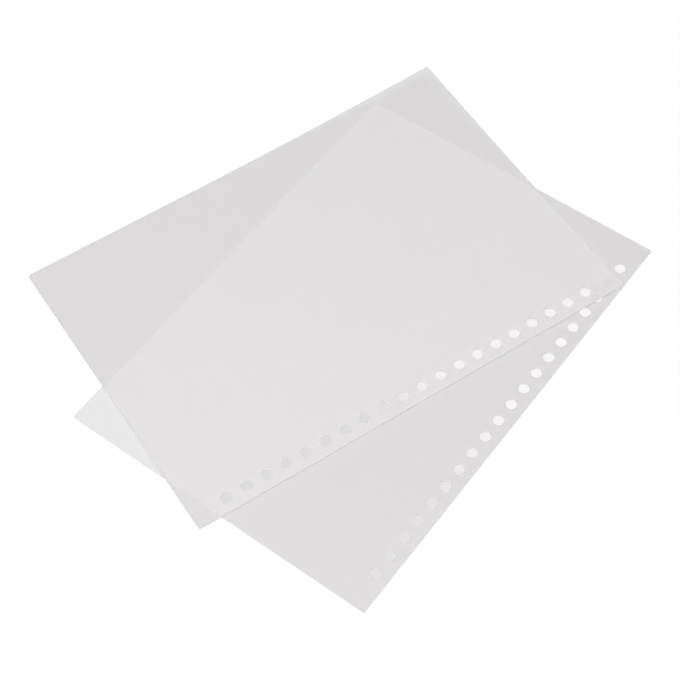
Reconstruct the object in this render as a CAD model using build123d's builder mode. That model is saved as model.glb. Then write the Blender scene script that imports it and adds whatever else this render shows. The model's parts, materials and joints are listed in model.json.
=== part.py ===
from build123d import *
import os

# A pair of loose cover sheets for a ring binder, die-cut from frosted polypropylene and punched
# along one long edge. The upper sheet lies flat on the lower one, turned and shifted across it.
#
# The origin is the centre of the lower sheet's underside. X runs along its punched edge,
# Y from the punched edge to the far edge, and Z points up, all in millimetres.

# Blank of each sheet
SHEET_LENGTH = 213.0  # along the punched edge
SHEET_WIDTH = 150.0  # from the punched edge to the far edge
SHEET_THICKNESS = 0.5
CORNER_RADIUS = 1.0

# Row of ring holes
HOLE_DIAMETER = 4.7
HOLE_PITCH = 9.5
HOLE_MARGIN = 6.2  # punched edge to hole centres
ROW_END_MARGIN = 12.0  # least distance from a short edge to the first hole centre

# How the upper sheet lies on the lower one
UPPER_TURN = -20.3  # degrees about Z
UPPER_SHIFT_X = 9.7
UPPER_SHIFT_Y = 32.4

# The row holds as many holes as fit between its end margins, centred on the long edge
row_length = SHEET_LENGTH - 2 * ROW_END_MARGIN
hole_count = int(row_length / HOLE_PITCH) + 1
row_offset = HOLE_MARGIN - SHEET_WIDTH / 2

# The plane of each sheet's underside, with X along its punched edge
lower_underside = Plane.XY
upper_underside = Plane(
    origin=(UPPER_SHIFT_X, UPPER_SHIFT_Y, SHEET_THICKNESS),
    x_dir=Vector(1, 0, 0).rotate(Axis.Z, UPPER_TURN),
    z_dir=(0, 0, 1),
)


def punched_sheet(underside):
    """One sheet standing on the plane of its underside, with its row of holes punched right through."""
    with BuildPart() as sheet:
        with BuildSketch(underside):
            RectangleRounded(SHEET_LENGTH, SHEET_WIDTH, CORNER_RADIUS)
            with Locations((0, row_offset)):
                with GridLocations(HOLE_PITCH, HOLE_PITCH, hole_count, 1):
                    Circle(HOLE_DIAMETER / 2, mode=Mode.SUBTRACT)
        extrude(amount=SHEET_THICKNESS)
    return sheet.part


os.makedirs("parts", exist_ok=True)
sheets = {"lower_sheet": lower_underside, "upper_sheet": upper_underside}
for name, underside in sheets.items():
    part = punched_sheet(underside)
    part.label = name
    export_step(part, f"parts/{name}.step")
    print(f"{name}: {hole_count} holes, {part.volume:.2f} mm3")
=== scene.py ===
# %% [markdown]
# # Two frosted cover sheets for a ring binder
#
# The object is a pair of loose plastic sheets. Each is one ply of frosted polypropylene, cut with small
# round corners and punched with a row of ring holes along one long edge. The upper sheet lies turned
# across the lower one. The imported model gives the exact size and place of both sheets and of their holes,
# so this lesson reads those first.

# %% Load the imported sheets
import json
import math

import bmesh
import bpy
from mathutils import Matrix, Vector


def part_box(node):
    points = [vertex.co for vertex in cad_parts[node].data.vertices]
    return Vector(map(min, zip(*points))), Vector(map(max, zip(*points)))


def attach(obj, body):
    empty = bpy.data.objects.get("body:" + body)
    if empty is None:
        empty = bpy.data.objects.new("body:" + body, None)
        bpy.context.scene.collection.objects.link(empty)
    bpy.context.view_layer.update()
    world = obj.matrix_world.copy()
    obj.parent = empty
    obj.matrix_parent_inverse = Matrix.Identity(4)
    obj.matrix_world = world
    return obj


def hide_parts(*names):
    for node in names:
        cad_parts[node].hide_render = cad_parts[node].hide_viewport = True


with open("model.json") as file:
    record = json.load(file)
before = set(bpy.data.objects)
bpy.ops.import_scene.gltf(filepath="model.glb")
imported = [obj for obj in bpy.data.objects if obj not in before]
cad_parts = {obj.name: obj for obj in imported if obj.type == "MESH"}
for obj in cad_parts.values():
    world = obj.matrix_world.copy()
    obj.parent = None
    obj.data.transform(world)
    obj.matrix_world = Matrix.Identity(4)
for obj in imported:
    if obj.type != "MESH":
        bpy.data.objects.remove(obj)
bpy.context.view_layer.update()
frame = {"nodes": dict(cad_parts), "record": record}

scene = bpy.context.scene
print("packed nodes:", sorted(frame["nodes"]))

# %% [markdown]
# ## Measures
#
# The lower sheet lies square to the frame, so its box is the size of the blank that both sheets are cut
# from. The ring holes are listed in the record, one by one and in order. From the first and last hole of
# a row we know how its sheet is turned, and from the lower row how far the holes stand from the edge.
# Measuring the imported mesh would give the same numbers, but the record states them exactly.

# %% Read the blank and the rows of ring holes
low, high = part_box("lower_sheet")
SHEET_LENGTH, SHEET_WIDTH, SHEET_THICKNESS = high - low

def ring_holes(sheet):
    """The record's ring holes of one sheet, in order along its punched edge."""
    found = [mount for mount in frame["record"]["mounts"] if mount["name"].startswith(sheet + "_ring_hole")]
    return sorted(found, key=lambda mount: mount["name"])

def row_ends(sheet):
    """The centres of the first and the last ring hole of one sheet."""
    holes = ring_holes(sheet)
    return Vector(holes[0]["pos_m"]), Vector(holes[-1]["pos_m"])

first, last = row_ends("lower")
HOLE_COUNT = len(ring_holes("lower"))
HOLE_RADIUS = ring_holes("lower")[0]["dims"]["r_mm"] / 1000
HOLE_PITCH = (last - first).length / (HOLE_COUNT - 1)
HOLE_MARGIN = first.y - low.y
print(f"blank {SHEET_LENGTH:.4f} x {SHEET_WIDTH:.4f} x {SHEET_THICKNESS:.4f} m")
print(f"{HOLE_COUNT} holes, radius {HOLE_RADIUS:.5f} m, pitch {HOLE_PITCH:.4f} m, margin {HOLE_MARGIN:.4f} m")

# %% [markdown]
# ## The blanks
#
# A steel-rule die cuts the outline in one stroke. We start from a single square face, scale it to the
# blank and round its corners with a vertex bevel, which does to a flat face what a bend in the rule does
# to the sheet. Drawing the outline point by point would work too, but the bevel keeps the radius in one
# place. Both sheets are the same cut, so each step from here on is done to both, except the upper sheet's
# curl.

# %% Cut the outlines
CORNER_RADIUS = 0.001
CORNER_STEPS = 6

def cut_blank():
    """A flat face of the blank's outline, centred on the origin."""
    bm = bmesh.new()
    bmesh.ops.create_grid(bm, x_segments=1, y_segments=1, size=0.5)
    bmesh.ops.scale(bm, verts=bm.verts[:], vec=(SHEET_LENGTH, SHEET_WIDTH, 1.0))
    bmesh.ops.bevel(
        bm, geom=bm.verts[:], affect="VERTICES", offset=CORNER_RADIUS, offset_type="OFFSET",
        segments=CORNER_STEPS, profile=0.5, material=-1,
    )
    return bm

sheets = {"lower": cut_blank(), "upper": cut_blank()}
for sheet, bm in sheets.items():
    print(f"{sheet}: {len(bm.verts)} points, {sum(face.calc_area() for face in bm.faces) * 1e6:.0f} mm2")

# %% [markdown]
# ## Cells for the holes and for the bend
#
# One big face can neither hold a clean hole nor bend. Bisecting it along straight lines gives a grid:
# one cell for each ring hole along the punched edge, and cells of about the same size over the rest, so
# that the sheet can curl smoothly later. Subdividing would be quicker to write, but its lines would
# miss the holes.

# %% Divide the blanks into cells
ROW_Y = HOLE_MARGIN - SHEET_WIDTH / 2
ROW_START = -HOLE_PITCH * (HOLE_COUNT - 1) / 2
STRIP_TOP = ROW_Y + HOLE_MARGIN

def divide(bm):
    """Bisects the blank: between the holes, above their strip, and evenly over what is left."""
    rows = round((SHEET_WIDTH / 2 - STRIP_TOP) / HOLE_PITCH)
    step = (SHEET_WIDTH / 2 - STRIP_TOP) / rows
    across = [Vector((ROW_START + (k - 0.5) * HOLE_PITCH, 0, 0)) for k in range(HOLE_COUNT + 1)]
    along = [Vector((0, STRIP_TOP + k * step, 0)) for k in range(rows)]
    for points, normal in ((across, Vector((1, 0, 0))), (along, Vector((0, 1, 0)))):
        for point in points:
            everything = bm.verts[:] + bm.edges[:] + bm.faces[:]
            bmesh.ops.bisect_plane(bm, geom=everything, plane_co=point, plane_no=normal)

for sheet, bm in sheets.items():
    divide(bm)
    print(f"{sheet}: {len(bm.faces)} cells")

# %% [markdown]
# ## The ring holes
#
# A punch takes a round slug out of each cell. Here the cell's face is deleted, a circle is set in the
# middle, and bridge_loops fills the land between the circle and the cell's border. A boolean would cut
# the same hole, but it leaves stray slivers that are hard to bevel.

# %% Punch the holes
HOLE_STEPS = 40

def punch(bm, centre):
    """Replaces the cell around this centre with a land that has a round hole in it."""
    cell = min(bm.faces, key=lambda face: (face.calc_center_bounds() - centre).length)
    border = cell.edges[:]
    bmesh.ops.delete(bm, geom=[cell], context="FACES_ONLY")
    ring = bmesh.ops.create_circle(
        bm, cap_ends=False, segments=HOLE_STEPS, radius=HOLE_RADIUS, matrix=Matrix.Translation(centre)
    )
    circle = {edge for vert in ring["verts"] for edge in vert.link_edges}
    bmesh.ops.bridge_loops(bm, edges=border + list(circle))

for sheet, bm in sheets.items():
    for k in range(HOLE_COUNT):
        punch(bm, Vector((ROW_START + k * HOLE_PITCH, ROW_Y, 0)))
    print(f"{sheet}: {HOLE_COUNT} holes, {sum(face.calc_area() for face in bm.faces) * 1e6:.0f} mm2 left")

# %% [markdown]
# ## Thickness and the rolled edge
#
# Solidify gives the flat cut its half millimetre. A real cut edge isn't a perfect right angle: the die
# rolls it over a little, and that roll is what catches the light. So every edge between a face and the
# cut wall gets a tiny bevel. A hair of air is left above and below, so that two sheets that lie on each
# other never share a surface, which a renderer can't tell apart.

# %% Thicken the sheets
EDGE_ROLL = 0.00007
EDGE_STEPS = 2
AIR_FILM = 0.00001
WALL_ANGLE = math.radians(60)

def thicken(bm):
    """Gives the punched blank its thickness, standing just above z = 0, and rolls its cut edges over."""
    bmesh.ops.recalc_face_normals(bm, faces=bm.faces[:])
    bmesh.ops.solidify(bm, geom=bm.faces[:], thickness=SHEET_THICKNESS - 2 * AIR_FILM)
    bmesh.ops.recalc_face_normals(bm, faces=bm.faces[:])
    lowest = min(vert.co.z for vert in bm.verts)
    bmesh.ops.translate(bm, verts=bm.verts[:], vec=(0, 0, AIR_FILM - lowest))
    rims = [edge for edge in bm.edges if edge.calc_face_angle(0.0) > WALL_ANGLE]
    bmesh.ops.bevel(
        bm, geom=rims, affect="EDGES", offset=EDGE_ROLL, offset_type="OFFSET",
        segments=EDGE_STEPS, profile=0.5, material=-1,
    )
    bm.normal_update()

for sheet, bm in sheets.items():
    thicken(bm)
    print(f"{sheet}: {len(bm.faces)} faces, {bm.calc_volume() * 1e9:.0f} mm3")

# %% [markdown]
# ## Two finishes and a flat map
#
# The faces and the cut walls have different finishes, so each mesh face gets the number of its own.
# While the sheet is still flat, its own x and y are also written down as a UV map, in metres. Patterns
# that belong to the sheet, such as the flow lines of the plastic, can then follow it however it is
# turned or bent.

# %% Mark the finishes and draw the flat map
FACE_FINISH, WALL_FINISH = 0, 1
LEVEL = 0.99
FLAT_MAP = "flat_map"

def mark(bm):
    """Gives each mesh face its finish, and each of its corners its place on the flat sheet."""
    flat = bm.loops.layers.uv.new(FLAT_MAP)
    for face in bm.faces:
        face.smooth = True
        face.material_index = FACE_FINISH if abs(face.normal.z) > LEVEL else WALL_FINISH
        for loop in face.loops:
            loop[flat].uv = loop.vert.co.xy

for sheet, bm in sheets.items():
    mark(bm)
    walls = sum(face.material_index == WALL_FINISH for face in bm.faces)
    print(f"{sheet}: {walls} of {len(bm.faces)} faces are cut walls")

# %% [markdown]
# ## The curl
#
# Thin plastic off a roll never lies quite flat. On the upper sheet the far corner, diagonally across from
# the start of the row of holes, rises a few millimetres, as a gentle cylinder that lies diagonally under
# it. Each point past the start of the curl rises by the square of its distance from there, which is how
# a strip of constant curvature leaves a table. A Simple Deform modifier could bend it too, but it bends
# along a whole axis, and this is one corner.

# %% Curl the upper sheet
CURL_DIRECTION = Vector((1, 1, 0)).normalized()
CURL_START = 0.030
CURL_RISE = 0.0039

def curl(bm):
    """Bends the corner that lies furthest along the curl's direction up to its full rise."""
    reach = CURL_DIRECTION.dot(Vector((SHEET_LENGTH / 2, SHEET_WIDTH / 2, 0))) - CURL_START
    for vert in bm.verts:
        past = max(0.0, CURL_DIRECTION.dot(vert.co) - CURL_START)
        vert.co.z += CURL_RISE * (past / reach) ** 2

curl(sheets["upper"])
print(f"upper: highest point {max(vert.co.z for vert in sheets['upper'].verts) * 1000:.2f} mm")

# %% [markdown]
# ## Where the sheets lie
#
# Each sheet is placed by its own row of holes in the record. The line from the first to the last hole
# gives the turn, and the middle of the row gives the place. The blanks were drawn around the origin, so
# one matrix takes each there, and the place stays in the mesh: the object itself is never moved.

# %% Place the sheets
def placement(sheet):
    """The matrix that takes a flat blank to the place of this sheet's row of holes."""
    first, last = row_ends(sheet)
    along = last - first
    turn = Matrix.Rotation(math.atan2(along.y, along.x), 4, "Z")
    centre = (first + last) / 2 - turn @ Vector((0, ROW_Y, 0))
    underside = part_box(sheet + "_sheet")[0].z
    return Matrix.Translation((centre.x, centre.y, underside)) @ turn

for sheet, bm in sheets.items():
    place = placement(sheet)
    bmesh.ops.transform(bm, matrix=place, verts=bm.verts[:])
    turned = math.degrees(place.to_euler().z)
    print(f"{sheet}: {place.translation.x:.4f}, {place.translation.y:.4f} m, turned {turned:.2f} degrees")

# %% [markdown]
# ## Two pieces
#
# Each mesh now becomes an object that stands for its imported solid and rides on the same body, so it
# follows when the upper sheet is lifted off. Smooth shading with weighted normals keeps the broad faces
# flat and lets only the rolled edge look round.

# %% Make the objects
def make_cover(sheet, bm):
    """One finished sheet as an object at the origin."""
    mesh = bpy.data.meshes.new(sheet + "_cover")
    bm.to_mesh(mesh)
    bm.free()
    cover = bpy.data.objects.new(sheet + "_cover", mesh)
    scene.collection.objects.link(cover)
    even = cover.modifiers.new("even_faces", "WEIGHTED_NORMAL")
    even.weight = 100
    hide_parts(sheet + "_sheet")
    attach(cover, sheet + "_sheet")
    return cover

covers = [make_cover(sheet, bm) for sheet, bm in sheets.items()]
for cover in covers:
    print(f"{cover.name}: {len(cover.data.polygons)} faces")

# %% [markdown]
# ## Tools for the finishes
#
# A finish is a small network of nodes. A few helpers keep the cells below short: they add a node and feed
# its sockets, put a sum, a slope or a blend of two colours on one line, and make an empty material or an
# empty node group. The same networks could be drawn by hand in the editor, but a script is easier to change.

# %% Helpers for node networks
def feed(tree, socket, value):
    """Links a socket to another one, or sets it to a plain value."""
    if isinstance(value, bpy.types.NodeSocket):
        tree.links.new(value, socket)
    else:
        socket.default_value = value

def add(tree, kind, sockets, family="ShaderNode", **settings):
    """A new node, with its settings made and the sockets named here fed."""
    node = tree.nodes.new(family + kind)
    for name, value in settings.items():
        setattr(node, name, value)
    for name, value in sockets.items():
        feed(tree, node.inputs[name], value)
    return node

def maths(tree, operation, *values):
    """The result of a Math node on these values or sockets."""
    return add(tree, "Math", dict(enumerate(values)), operation=operation).outputs[0]

def slope(tree, value, start, end):
    """Rises from 0 to 1 while a value goes from start to end."""
    return add(tree, "MapRange", {"Value": value, "From Min": start, "From Max": end}).outputs["Result"]

def blend(tree, share, first, second):
    """The first colour, which gives way to the second by this share."""
    return add(tree, "MixRGB", {"Fac": share, "Color1": first, "Color2": second}).outputs["Color"]

def new_group(name, inputs, outputs, family="ShaderNodeTree"):
    """An empty node group with these sockets, given as names and kinds."""
    tree = bpy.data.node_groups.new(name, family)
    for label, kind in inputs.items():
        tree.interface.new_socket(label, in_out="INPUT", socket_type="NodeSocket" + kind)
    for label, kind in outputs.items():
        tree.interface.new_socket(label, in_out="OUTPUT", socket_type="NodeSocket" + kind)
    return tree, tree.nodes.new("NodeGroupInput").outputs, tree.nodes.new("NodeGroupOutput").inputs

def new_material(name):
    """An empty material, its node tree and its surface socket."""
    material = bpy.data.materials.new(name)
    material.use_nodes = True
    tree = material.node_tree
    tree.nodes.clear()
    return material, tree, tree.nodes.new("ShaderNodeOutputMaterial").inputs["Surface"]

print("helpers for nodes, groups and materials")

# %% [markdown]
# ## Frost
#
# The matt surface of the sheet comes from a roller with a fine random texture, which presses grain into
# both faces. The grain is far too small to model, so it is a bump: one noise for the pits and a finer one
# for their floors. Where the grain stands high it is rubbed a little smoother, so the same noise also
# drives the roughness. The cut walls get the same group with other values.

# %% Make the frost group
FINER = 3.1
FLOOR_DEPTH = 0.4
LOWEST, HIGHEST = 0.5, 0.9

frost, given, result = new_group(
    "frost_grain",
    {"Vector": "Vector", "Pits per Metre": "Float", "Smoothest": "Float", "Roughest": "Float"},
    {"Height": "Float", "Roughness": "Float"},
)
pits = add(frost, "TexNoise", {"Vector": given["Vector"], "Scale": given["Pits per Metre"], "Detail": 2.0})
finer = maths(frost, "MULTIPLY", given["Pits per Metre"], FINER)
floors = add(frost, "TexNoise", {"Vector": given["Vector"], "Scale": finer, "Detail": 1.0})
height = maths(frost, "MULTIPLY_ADD", floors.outputs["Fac"], FLOOR_DEPTH, pits.outputs["Fac"])
rubbed = add(frost, "MapRange", {
    "Value": height, "From Min": LOWEST, "From Max": HIGHEST,
    "To Min": given["Roughest"], "To Max": given["Smoothest"],
})
feed(frost, result["Height"], height)
feed(frost, result["Roughness"], rubbed.outputs["Result"])
print(frost.name, "has", len(frost.nodes), "nodes")

# %% [markdown]
# ## Flow lines
#
# The sheet is extruded through a slot and drawn along its length, which leaves very faint lanes of denser
# and thinner plastic. Stretching a noise along the flat map draws such lanes, and a second, broad noise
# clouds them. The differences are a few thousandths, just enough that a broad face isn't dead even.

# %% Make the flow group
LANES = (4.0, 190.0, 1.0)
CLOUDS = 28.0
CLOUD_SHARE = 0.5
THINNEST, DENSEST = 0.45, 1.05

flow, given, result = new_group(
    "flow_lines", {"Vector": "Vector", "Thin": "Color", "Dense": "Color"}, {"Color": "Color"}
)
stretched = add(flow, "Mapping", {"Vector": given["Vector"], "Scale": LANES})
lanes = add(flow, "TexNoise", {"Vector": stretched.outputs["Vector"], "Scale": 1.0, "Detail": 3.0})
clouds = add(flow, "TexNoise", {"Vector": given["Vector"], "Scale": CLOUDS, "Detail": 2.0})
both = maths(flow, "MULTIPLY_ADD", clouds.outputs["Fac"], CLOUD_SHARE, lanes.outputs["Fac"])
density = slope(flow, both, THINNEST, DENSEST)
feed(flow, result["Color"], blend(flow, density, given["Thin"], given["Dense"]))
print(flow.name, "has", len(flow.nodes), "nodes")

# %% [markdown]
# ## Whitened cuts
#
# Where the die and the punch stretch the plastic, it whitens: along the outline and around each hole the
# frost is a little denser for about a millimetre. The distance to the outline is read from the flat map.
# For the holes the map is folded with a fraction, so that all of them become one hole.

# %% Make the whitening group
WHITENED = 0.0009

whitening, given, result = new_group("whitened_cuts", {"Vector": "Vector"}, {"Mask": "Float"})
flat = add(whitening, "SeparateXYZ", {"Vector": given["Vector"]}).outputs
from_middle = maths(whitening, "ABSOLUTE", flat["X"])
to_end = maths(whitening, "SUBTRACT", SHEET_LENGTH / 2, from_middle)
to_side = maths(whitening, "SUBTRACT", SHEET_WIDTH / 2, maths(whitening, "ABSOLUTE", flat["Y"]))
from_start = maths(whitening, "SUBTRACT", flat["X"], ROW_START - HOLE_PITCH / 2)
folded = maths(whitening, "FRACT", maths(whitening, "DIVIDE", from_start, HOLE_PITCH))
from_hole = maths(whitening, "MULTIPLY", maths(whitening, "SUBTRACT", folded, 0.5), HOLE_PITCH)
from_row = maths(whitening, "SUBTRACT", flat["Y"], ROW_Y)
squared = maths(whitening, "MULTIPLY", from_hole, from_hole)
radius = maths(whitening, "SQRT", maths(whitening, "MULTIPLY_ADD", from_row, from_row, squared))
past_row = maths(whitening, "GREATER_THAN", from_middle, HOLE_PITCH * HOLE_COUNT / 2)
to_rim = maths(whitening, "ADD", maths(whitening, "SUBTRACT", radius, HOLE_RADIUS), past_row)
nearest = maths(whitening, "MINIMUM", maths(whitening, "MINIMUM", to_end, to_side), to_rim)
fade = add(whitening, "MapRange", {
    "Value": nearest, "From Max": WHITENED, "To Min": 1.0, "To Max": 0.0,
}, interpolation_type="SMOOTHSTEP")
feed(whitening, result["Mask"], fade.outputs["Result"])
print(whitening.name, "has", len(whitening.nodes), "nodes")

# %% [markdown]
# ## The frosted faces
#
# Frosted polypropylene is clear plastic with a little milk in it, under its grain. It sends part of the
# light back and lets the rest straight through, so that the other sheet's edges show. A Principled shader
# with a low Alpha does both. Each of a sheet's two faces takes a quarter of the light or less: past that
# the renderer's denoiser no longer looks through to what lies below, and smears the edges there.
# Refractive glass would be the other way, but a film this thin bends nothing, and glass costs far more
# samples.

# %% Make the frosted finish
MILKINESS = 0.24
WHITENED_MILKINESS = 0.265
FACE_GRAIN = {"Pits per Metre": 3500.0, "Smoothest": 0.46, "Roughest": 0.6}
FACE_TINTS = {"Thin": (0.995, 0.987, 0.991, 1.0), "Dense": (0.988, 0.980, 0.984, 1.0)}
GRAIN_DEPTH = 0.00004
PLASTIC_IOR = 1.49

frosted, tree, surface = new_material("frosted_face")
place = add(tree, "TexCoord", {}).outputs["Object"]
flat = add(tree, "UVMap", {}, uv_map=FLAT_MAP).outputs["UV"]
grain = add(tree, "Group", {"Vector": place, **FACE_GRAIN}, node_tree=frost)
tint = add(tree, "Group", {"Vector": flat, **FACE_TINTS}, node_tree=flow)
cuts = add(tree, "Group", {"Vector": flat}, node_tree=whitening)
milk = add(tree, "MapRange", {
    "Value": cuts.outputs["Mask"], "To Min": MILKINESS, "To Max": WHITENED_MILKINESS,
})
relief = add(tree, "Bump", {"Height": grain.outputs["Height"], "Strength": 0.25, "Distance": GRAIN_DEPTH})
body = add(tree, "BsdfPrincipled", {
    "Base Color": tint.outputs["Color"], "Roughness": grain.outputs["Roughness"], "IOR": PLASTIC_IOR,
    "Alpha": milk.outputs["Result"], "Normal": relief.outputs["Normal"],
})
feed(tree, surface, body.outputs["BSDF"])
print(frosted.name, "has", len(tree.nodes), "nodes")

# %% [markdown]
# ## The cut wall
#
# The die shears the wall of the cut, so it has no frost, and one looks into the whole width of the sheet
# there: it is milky and hides what lies behind it. The dragged plastic leaves fine marks from top to
# bottom, which the frost group gives when its noise is stretched along Z. It looks like a thin dark line
# only because little light reaches a wall that stands under a light from overhead.

# %% Make the wall finish and dress the sheets
WALL_GRAIN = {"Pits per Metre": 6000.0, "Smoothest": 0.3, "Roughest": 0.5}
WALL_TINTS = {"Thin": (0.98, 0.966, 0.973, 1.0), "Dense": (0.93, 0.916, 0.923, 1.0)}
DRAGGED = (1.0, 1.0, 0.12)

wall, tree, surface = new_material("cut_wall")
place = add(tree, "TexCoord", {}).outputs["Object"]
marks = add(tree, "Mapping", {"Vector": place, "Scale": DRAGGED})
grain = add(tree, "Group", {"Vector": marks.outputs["Vector"], **WALL_GRAIN}, node_tree=frost)
tint = add(tree, "Group", {"Vector": place, **WALL_TINTS}, node_tree=flow)
relief = add(tree, "Bump", {"Height": grain.outputs["Height"], "Strength": 0.4, "Distance": GRAIN_DEPTH})
body = add(tree, "BsdfPrincipled", {
    "Base Color": tint.outputs["Color"], "Roughness": grain.outputs["Roughness"], "IOR": PLASTIC_IOR,
    "Normal": relief.outputs["Normal"],
})
feed(tree, surface, body.outputs["BSDF"])
for cover in covers:
    cover.data.materials.append(frosted)
    cover.data.materials.append(wall)
    print(cover.name, "wears", [slot.name for slot in cover.material_slots])

# %% [markdown]
# ## The floor
#
# The sheets lie on a plain pale table that runs out to white. One flat face, wide enough to fill the
# picture, does it: a backdrop with a curved back would only be seen by a low camera.

# %% Lay the floor
FLOOR_HALF = 3.0

bm = bmesh.new()
bmesh.ops.create_grid(bm, x_segments=1, y_segments=1, size=FLOOR_HALF)
mesh = bpy.data.meshes.new("floor")
bm.to_mesh(mesh)
bm.free()
floor = bpy.data.objects.new("floor", mesh)
scene.collection.objects.link(floor)
print("floor", 2 * FLOOR_HALF, "m wide")

# %% [markdown]
# ## Two tones of the table
#
# A see-through sheet shows the table under it, so the table has two tones. To the light, and through the
# sheets, it is a pale grey paint. Where the camera looks straight at it, it is white and keeps a soft
# shadow. Light Path tells the two apart, because it counts the see-through faces that a ray has passed.
# Rays that a mirror or clear glass sends on see the white as well.

# %% Tell the two tones apart
HALF_A_FACE = 0.5

def seen_plainly(tree, path):
    """Is 1 for rays that a mirror or clear glass sends on, and 0 for soft light."""
    clear = maths(tree, "SUBTRACT", path["Is Transmission Ray"], path["Is Diffuse Ray"])
    return maths(tree, "MAXIMUM", path["Is Glossy Ray"], clear)

def overlap(tree, *masks):
    """Is 1 where all of these masks are 1."""
    product = masks[0]
    for mask in masks[1:]:
        product = maths(tree, "MULTIPLY", product, mask)
    return product

pale, tree, surface = new_material("pale_floor")
path = add(tree, "LightPath", {}).outputs
uncovered = maths(tree, "LESS_THAN", path["Transparent Depth"], HALF_A_FACE)
direct = overlap(tree, path["Is Camera Ray"], uncovered)
white = maths(tree, "MAXIMUM", direct, seen_plainly(tree, path))
print(pale.name, "has", len(tree.nodes), "nodes to tell the tones apart")

# %% [markdown]
# ## The table in the ring holes
#
# Through the lower sheet's own holes one looks straight at the table, but there it lies in the sheet's
# shade: pale grey at the near end of the row, and clearing to almost white further along. This shade is
# painted on the table: only the holes show this stretch of it, so a painted slope of tone under the whole
# sheet is enough. Real shading alone would make all the holes alike.

# %% Shade the table under the lower sheet
SHADE_START, SHADE_END = -0.055, 0.005
NEAR_SHADE = (0.692, 0.673, 0.683, 1.0)
FAR_SHADE = (0.905, 0.884, 0.895, 1.0)
FLOOR_WHITE = (1.0, 1.0, 1.0, 1.0)

table = add(tree, "TexCoord", {}).outputs["Object"]
spot = add(tree, "SeparateXYZ", {"Vector": table}).outputs
along = maths(tree, "COMPARE", spot["X"], 0.0, SHEET_LENGTH / 2)
across = maths(tree, "COMPARE", spot["Y"], 0.0, SHEET_WIDTH / 2)
under = overlap(tree, along, across)
# painted shade: the table's tone in the lower row's holes, grey at the near end, clearing further along
run = slope(tree, spot["X"], SHADE_START, SHADE_END)
plain = blend(tree, under, FLOOR_WHITE, blend(tree, run, NEAR_SHADE, FAR_SHADE))
print(f"shade clears over {(SHADE_END - SHADE_START) * 1000:.0f} mm of the lower row")

# %% [markdown]
# ## The table through one sheet
#
# The lower sheet lies under the upper row of holes, so there one sees the table through a single sheet.
# Along this row too it clears, from grey at the left end to almost white, and it is pale under the lower
# sheet's left corner. A lamp aimed at these places would light the sheets as well, so the tones are painted
# on the table. They have to go from the row when the upper sheet is lifted off, so a small Geometry Nodes
# modifier notes the height of that sheet on the floor.

# %% Note the height of the upper sheet on the floor
UPPER_LIFT = "upper_lift"

noting, given, result = new_group(
    UPPER_LIFT, {"Geometry": "Geometry"}, {"Geometry": "Geometry"}, family="GeometryNodeTree"
)
upper = add(noting, "ObjectInfo", {"Object": covers[-1]}, family="GeometryNode")
height = add(noting, "SeparateXYZ", {"Vector": upper.outputs["Location"]}).outputs["Z"]
note = add(noting, "StoreNamedAttribute", {
    "Geometry": given["Geometry"], "Name": UPPER_LIFT, "Value": height,
}, family="GeometryNode")
feed(noting, result["Geometry"], note.outputs["Geometry"])
floor.modifiers.new(UPPER_LIFT, "NODES").node_group = noting
print("floor notes the height of", covers[-1].name)

# %% [markdown]
# ## The upper row on the table
#
# A ray that has passed one sheet has passed two of its faces. A Mapping node turns the floor's coordinates
# into those of the upper sheet, where the row of holes is a straight strip. Two of the lower sheet's own
# holes lie under the upper sheet's corner, so the strip of the lower row is left out.

# %% Find the upper row on the table
FACES_OF_SHEET = 2.0
UPPER_STRIP, LOWER_STRIP = 1.5 * HOLE_RADIUS, 1.1 * HOLE_RADIUS
LYING = 0.005

one_sheet = maths(tree, "COMPARE", path["Transparent Depth"], FACES_OF_SHEET, HALF_A_FACE)
through = overlap(tree, path["Is Camera Ray"], one_sheet, under)
lay = placement("upper")
laid = add(tree, "Mapping", {
    "Vector": table, "Location": lay.translation, "Rotation": lay.to_euler(),
}, vector_type="TEXTURE")
row = add(tree, "SeparateXYZ", {"Vector": laid.outputs["Vector"]}).outputs
along = maths(tree, "COMPARE", row["X"], 0.0, HOLE_PITCH * HOLE_COUNT / 2)
across = maths(tree, "COMPARE", row["Y"], ROW_Y, UPPER_STRIP)
past_lower_row = maths(tree, "GREATER_THAN", spot["Y"], ROW_Y + LOWER_STRIP)
lifted = add(tree, "Attribute", {}, attribute_name=UPPER_LIFT).outputs["Fac"]
lying = maths(tree, "LESS_THAN", lifted, LYING)
# mask of the painted shade and light under the upper row's holes, gone once that sheet is lifted
painted_row_mask = overlap(tree, through, along, across, past_lower_row, lying)
print(f"upper row: {HOLE_PITCH * HOLE_COUNT * 1000:.0f} mm long, {2 * UPPER_STRIP * 1000:.1f} mm wide")

# %% Shade the table under the upper row
ROW_SHADE_START, ROW_SHADE_END = -0.022, 0.021
LEFT_SHADE = (0.507, 0.492, 0.500, 1.0)
RIGHT_PAINTED_LIGHT = (0.852, 0.832, 0.843, 1.0)

# painted shade at the row's left end, turning into painted light towards its right end
run = slope(tree, row["X"], ROW_SHADE_START, ROW_SHADE_END)
plain = blend(tree, painted_row_mask, plain, blend(tree, run, LEFT_SHADE, RIGHT_PAINTED_LIGHT))
print(f"shade clears over {(ROW_SHADE_END - ROW_SHADE_START) * 1000:.0f} mm of the upper row")

# %% [markdown]
# ## The left corner
#
# Towards its left corner the lower sheet looks paler too, which is painted light on the table under it. The
# corner lies where X is lowest and Y highest, so Y less X tells how near a place is to it, and a slope of
# that clears the table over a short stretch. A round spot around the corner's tip would show as a circle, and
# this runs straight across.

# %% Clear the table under the left corner
CORNER_START, CORNER_END = 0.120, 0.140
CORNER_PAINTED_LIGHT = (0.686, 0.668, 0.677, 1.0)

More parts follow.
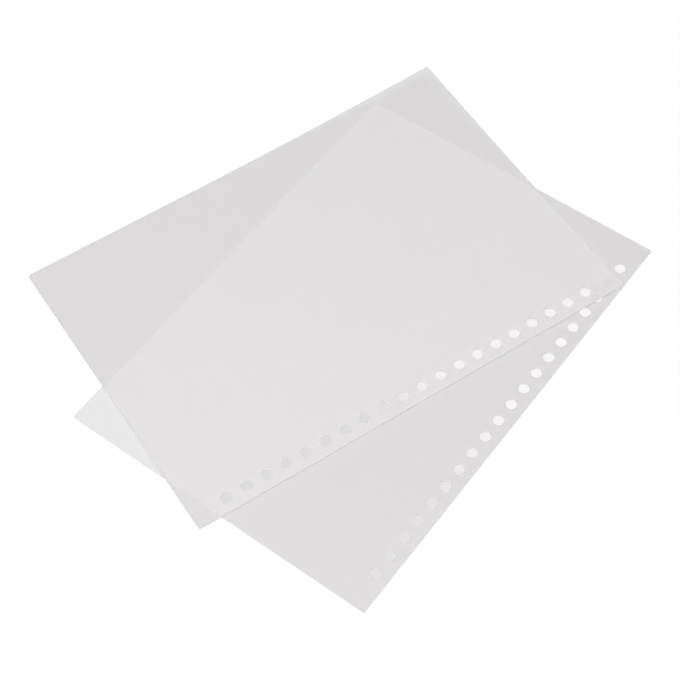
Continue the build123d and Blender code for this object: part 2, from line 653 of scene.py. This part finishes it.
# painted light: the table under the lower sheet's left corner is paler, seen through that sheet
towards = maths(tree, "SUBTRACT", spot["Y"], spot["X"])
painted_corner_mask = overlap(tree, through, slope(tree, towards, CORNER_START, CORNER_END))
plain = blend(tree, painted_corner_mask, plain, CORNER_PAINTED_LIGHT)
painted_tone_mask = maths(tree, "MAXIMUM", painted_row_mask, painted_corner_mask)
print(f"corner clears over {(CORNER_END - CORNER_START) / math.sqrt(2) * 1000:.0f} mm")

# %% [markdown]
# ## The paint
#
# The floor mixes two shaders. The paint takes light and shadow, and the shine shows its tone as it is
# written. Where the table is seen plainly it mostly shines, so that it is white but still keeps a soft
# shadow of the sheets, and where the shade and light are painted it shines wholly. Stronger lamps would make
# the table white as well, but the sheets would then turn white with it.

# %% Paint the floor
FLOOR_GREY = (0.650, 0.631, 0.641, 1.0)
FLOOR_SHINE = 0.8

paint = add(tree, "BsdfDiffuse", {"Color": blend(tree, white, FLOOR_GREY, FLOOR_WHITE)})
shine = add(tree, "Emission", {"Color": plain, "Strength": 1.0})
share = maths(tree, "MAXIMUM", maths(tree, "MULTIPLY", white, FLOOR_SHINE), painted_tone_mask)
mixed = add(tree, "MixShader", {"Fac": share, 1: paint.outputs["BSDF"], 2: shine.outputs["Emission"]})
feed(tree, surface, mixed.outputs["Shader"])
floor.data.materials.append(pale)
print("floor wears", [slot.name for slot in floor.material_slots])

# %% [markdown]
# ## Light
#
# Flat goods are often lit by a large soft box overhead. Here the world is that box: its light is
# strongest from straight above and fades to nothing at the horizon, with the square of the height. The
# cut walls then stay darker than the faces and draw the thin lines that make the sheets readable. An even
# sky would be simpler, but it lights the walls as brightly as the faces and creeps in under the curled
# corner. The camera itself sees a plain white world.

# %% Hang the soft box
SOFT_BOX = 1.62

world = bpy.data.worlds.new("studio")
scene.world = world
world.use_nodes = True
tree = world.node_tree
path = add(tree, "LightPath", {}).outputs
white = maths(tree, "MAXIMUM", path["Is Camera Ray"], seen_plainly(tree, path))
direction = add(tree, "SeparateXYZ", {"Vector": add(tree, "TexCoord", {}).outputs["Generated"]})
height = maths(tree, "MAXIMUM", direction.outputs["Z"], 0.0)
soft_box = maths(tree, "MULTIPLY", maths(tree, "MULTIPLY", height, height), SOFT_BOX)
level = add(tree, "MapRange", {"Value": white, "To Min": soft_box, "To Max": 1.0})
feed(tree, tree.nodes["Background"].inputs["Color"], (1.0, 1.0, 1.0, 1.0))
feed(tree, tree.nodes["Background"].inputs["Strength"], level.outputs["Result"])
print(f"soft box: a level white card gets {SOFT_BOX / 2:.2f}")

# %% [markdown]
# ## Lamp
#
# A wide lamp high on the left adds the slope of tone from left to right. Soft box and lamp together light
# a level white card to just about white, so colours come out as they are written.

# %% Hang the lamp
LAMP_PLACE = Vector((-0.60, -0.15, 0.85))
LAMP_WIDTH = 0.8
LAMP_POWER = 3.5

data = bpy.data.lights.new("lamp", "AREA")
data.size = LAMP_WIDTH
data.energy = LAMP_POWER
lamp = bpy.data.objects.new("lamp", data)
scene.collection.objects.link(lamp)
lamp.location = LAMP_PLACE
lamp.rotation_euler = (-LAMP_PLACE).to_track_quat("-Z", "Y").to_euler()
slant = LAMP_PLACE.z / LAMP_PLACE.length
card = LAMP_POWER / math.pi ** 2 * slant / LAMP_PLACE.length_squared
print(f"lamp {LAMP_PLACE.length:.2f} m away: a level white card gets {card:.2f} more")

# %% [markdown]
# ## Camera
#
# The camera was worked out from the rows of holes: their pitch is known, so their places in the picture
# fix the lens, the distance and the angles. It looks down on the sheets from the near left with a long
# lens, rolled by a few degrees.

# %% Set up the camera
AZIMUTH, ELEVATION, ROLL = (math.radians(angle) for angle in (-50.679, 56.238, -3.025))
DISTANCE = 0.7131
TARGET = Vector((-0.0108, 0.00815, 0.0))
LENS = 88.58

data = bpy.data.cameras.new("camera")
data.lens = LENS
camera = bpy.data.objects.new("camera", data)
scene.collection.objects.link(camera)
level_back = Vector((math.sin(AZIMUTH), -math.cos(AZIMUTH), 0.0))
back = level_back * math.cos(ELEVATION) + Vector((0, 0, math.sin(ELEVATION)))
aim = (-back).to_track_quat("-Z", "Y").to_matrix().to_4x4()
camera.matrix_world = Matrix.Translation(TARGET + back * DISTANCE) @ aim @ Matrix.Rotation(ROLL, 4, "Z")
scene.camera = camera
print("camera at", [round(value, 3) for value in camera.matrix_world.translation])

# %% [markdown]
# ## Colours and bounces
#
# Standard keeps colours as they are written. Light that enters a frosted sheet is passed back and forth
# many times before it leaves, and two sheets on a table make five faces, so the usual four diffuse
# bounces would lose much of it and turn the overlap dark. With more bounces the overlap comes out
# lighter than one sheet, as it is on the real pair.

# %% Set colours and bounces
scene.view_settings.view_transform = "Standard"
scene.cycles.max_bounces = 32
scene.cycles.diffuse_bounces = 24
scene.cycles.transmission_bounces = 24
scene.cycles.transparent_max_bounces = 24
print("diffuse bounces:", scene.cycles.diffuse_bounces)
